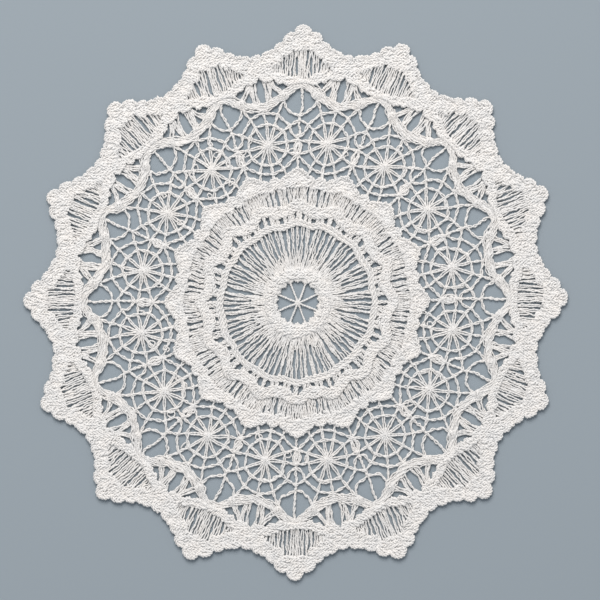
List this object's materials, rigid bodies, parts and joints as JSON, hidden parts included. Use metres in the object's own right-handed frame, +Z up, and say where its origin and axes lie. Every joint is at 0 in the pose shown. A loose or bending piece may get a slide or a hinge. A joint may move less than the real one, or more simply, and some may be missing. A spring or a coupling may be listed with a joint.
{
  "type": "battenberg lace doily",
  "caption": "Round off-white battenberg-style lace doily with a scalloped, pointed edge, spider wheels and a rosette middle, lying flat to protect or decorate a surface.",
  "frame": {"origin": "centre of the doily's box, on its flat underside", "axes": "+Z up out of the upper face, across the thin direction; +Y towards the point at the top of the picture, +X to the right of it"},
  "size_m": [0.1482, 0.1512, 0.0015],
  "materials": {
    "lace_thread": "off-white twisted embroidery thread with a soft sheen, in dense satin and running stitches"
  },
  "bodies": {
    "root": {"doily": "lace_thread"}
  },
  "joints": []
}
